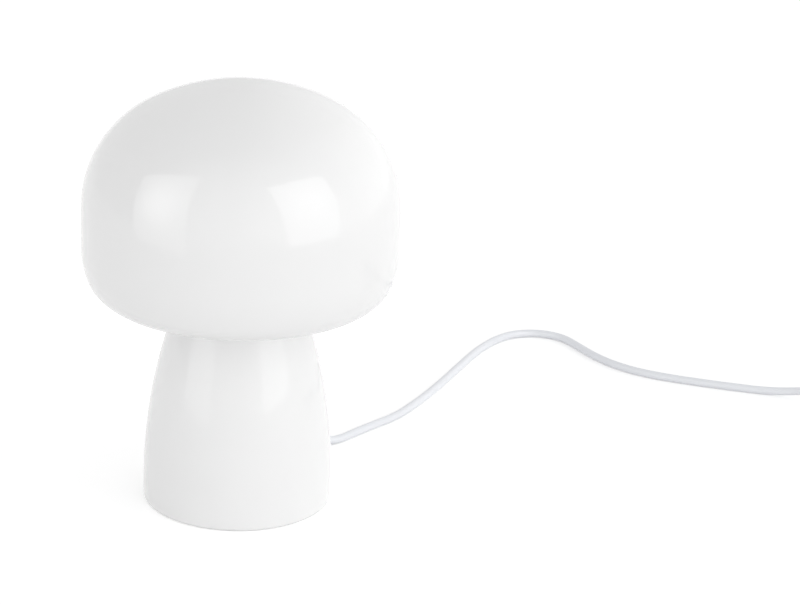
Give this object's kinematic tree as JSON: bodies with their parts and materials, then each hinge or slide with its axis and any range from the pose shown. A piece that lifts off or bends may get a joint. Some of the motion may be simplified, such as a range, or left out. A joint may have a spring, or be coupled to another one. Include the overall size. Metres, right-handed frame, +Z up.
{
  "type": "table lamp",
  "caption": "Mushroom-shaped table lamp: one blown opal glass over a base pan with lampholder, bulb, mains lead, cord switch and plug.",
  "frame": {"origin": "middle of the round foot, on the table that the lamp stands on", "axes": "+Z up along the lamp's axis of rotation; +Y towards the slot where the lead leaves; the lead lies off towards +Y and +X"},
  "size_m": [0.5216, 0.4785, 0.2743],
  "materials": {
    "opal_glass": "opal white, fire-polished gloss",
    "white_steel": "white powder coat, satin",
    "foam": "matt foam",
    "silicone": "satin",
    "spring_steel": "satin",
    "zinc_steel": "zinc plated",
    "holder_plastic": "gloss",
    "core_plastic": "matt",
    "brass": "plain",
    "bulb_white": "satin",
    "bulb_opal": "satin opal",
    "nickel": "nickel plated",
    "black_glass": "gloss",
    "board": "white lacquer",
    "lead_pvc": "satin PVC",
    "relief_pvc": "satin",
    "switch_plastic": "gloss",
    "plug_plastic": "satin",
    "pin_metal": "nickel plated",
    "tie_plastic": "satin"
  },
  "bodies": {
    "base": {"base_pan": "white_steel", "foot_pad": "foam", "centring_ring": "silicone", "spring_clips": "spring_steel", "clip_rivets": "zinc_steel", "threaded_tube": "zinc_steel", "tube_nuts": "zinc_steel", "tube_washer": "zinc_steel", "lead_clamp": "core_plastic", "clamp_screws": "zinc_steel", "strain_relief": "relief_pvc", "holder_cap": "holder_plastic", "holder_shell": "holder_plastic", "holder_core": "core_plastic", "terminal_screws": "brass", "screw_shell": "brass", "centre_contact": "brass", "inner_lead": "lead_pvc", "holder_wires": "lead_pvc", "cord_to_switch": "lead_pvc", "cord_from_switch": "lead_pvc", "cord_to_plug": "lead_pvc", "cord_coil": "lead_pvc", "coil_tie": "tie_plastic", "switch_lower_shell": "switch_plastic", "switch_upper_shell": "switch_plastic", "switch_screws": "zinc_steel", "switch_contacts": "brass", "switch_boots": "relief_pvc", "plug_body": "plug_plastic", "plug_pins": "pin_metal", "pin_sleeves": "plug_plastic"},
    "glass": {"glass_body": "opal_glass"},
    "bulb": {"bulb_tip": "nickel", "bulb_insulator": "black_glass", "bulb_screw_cap": "nickel", "bulb_collar": "bulb_white", "bulb_board": "board", "bulb_globe": "bulb_opal"},
    "rocker": {"switch_rocker": "switch_plastic"}
  },
  "joints": [
    {"name": "glass_lift", "type": "slide", "parent": "base", "child": "glass", "axis": [0, 0, 1], "range_m": [0, 0.215]},
    {"name": "bulb_out", "type": "slide", "parent": "base", "child": "bulb", "axis": [0, 0, 1], "range_m": [0, 0.026]},
    {"name": "rocker_tilt", "type": "hinge", "parent": "base", "child": "rocker", "pos_m": [0.292, 0.366, 0.0112], "axis": [0, -1, 0], "range_deg": [0, 18]}
  ]
}
